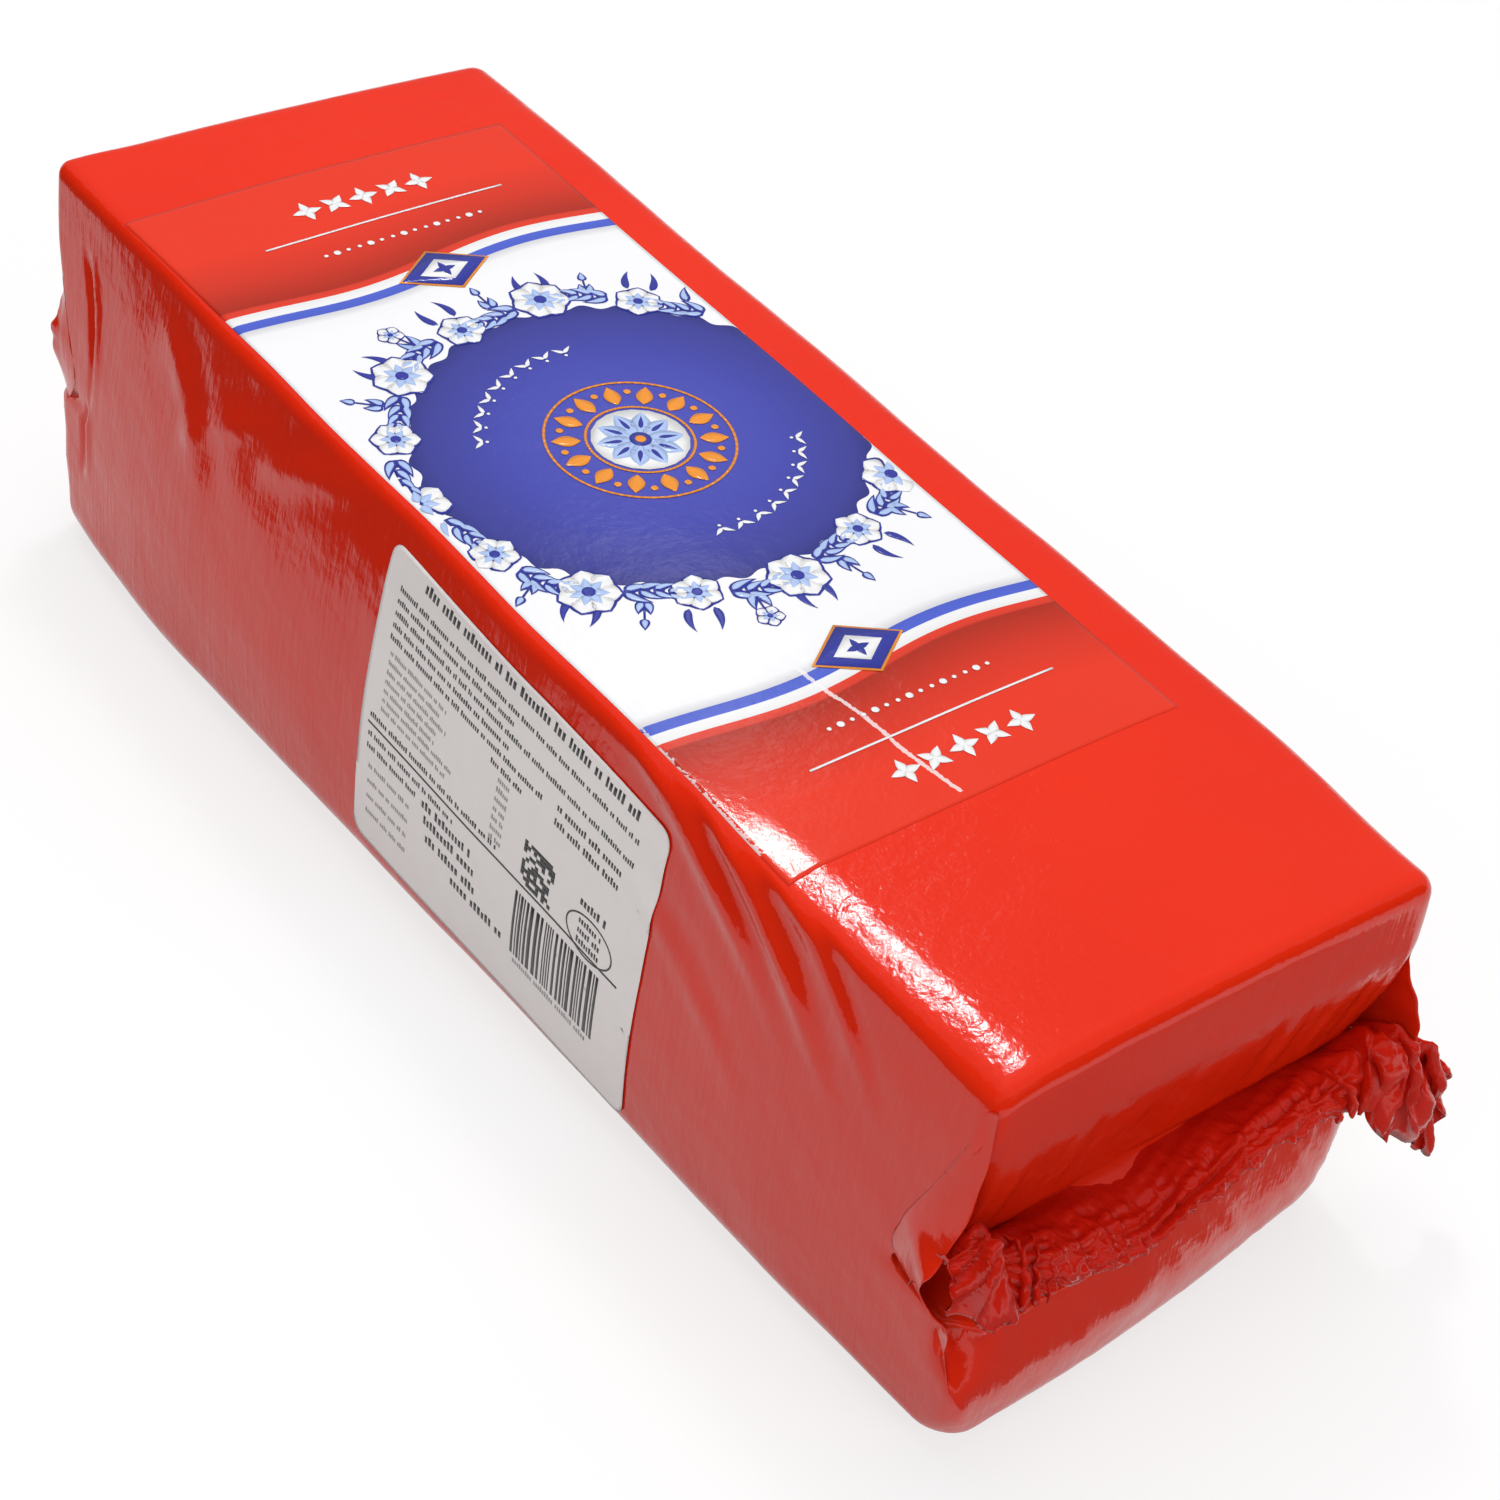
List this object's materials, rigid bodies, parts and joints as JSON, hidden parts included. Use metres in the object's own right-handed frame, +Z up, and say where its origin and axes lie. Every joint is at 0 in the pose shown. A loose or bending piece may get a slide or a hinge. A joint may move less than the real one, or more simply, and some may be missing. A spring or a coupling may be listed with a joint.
{
  "type": "loaf of edam cheese in red film",
  "caption": "Long block of firm cheese shut in tight red film, with crimped seals and dog ears at its ends, a printed sheet on top and a plain sticker on one side.",
  "frame": {"origin": "middle of the loaf's flat base", "axes": "+Z up from the base, +Y along the loaf, -Y the end with the standing dog ear, -X the side with the sticker"},
  "size_m": [0.13, 0.3196, 0.0909],
  "materials": {
    "red_film": "gloss",
    "printed_sheet": "gloss",
    "sticker_paper": "satin"
  },
  "bodies": {
    "root": {"wrapped_loaf": "red_film", "top_label": "printed_sheet", "side_label": "sticker_paper"}
  },
  "joints": []
}
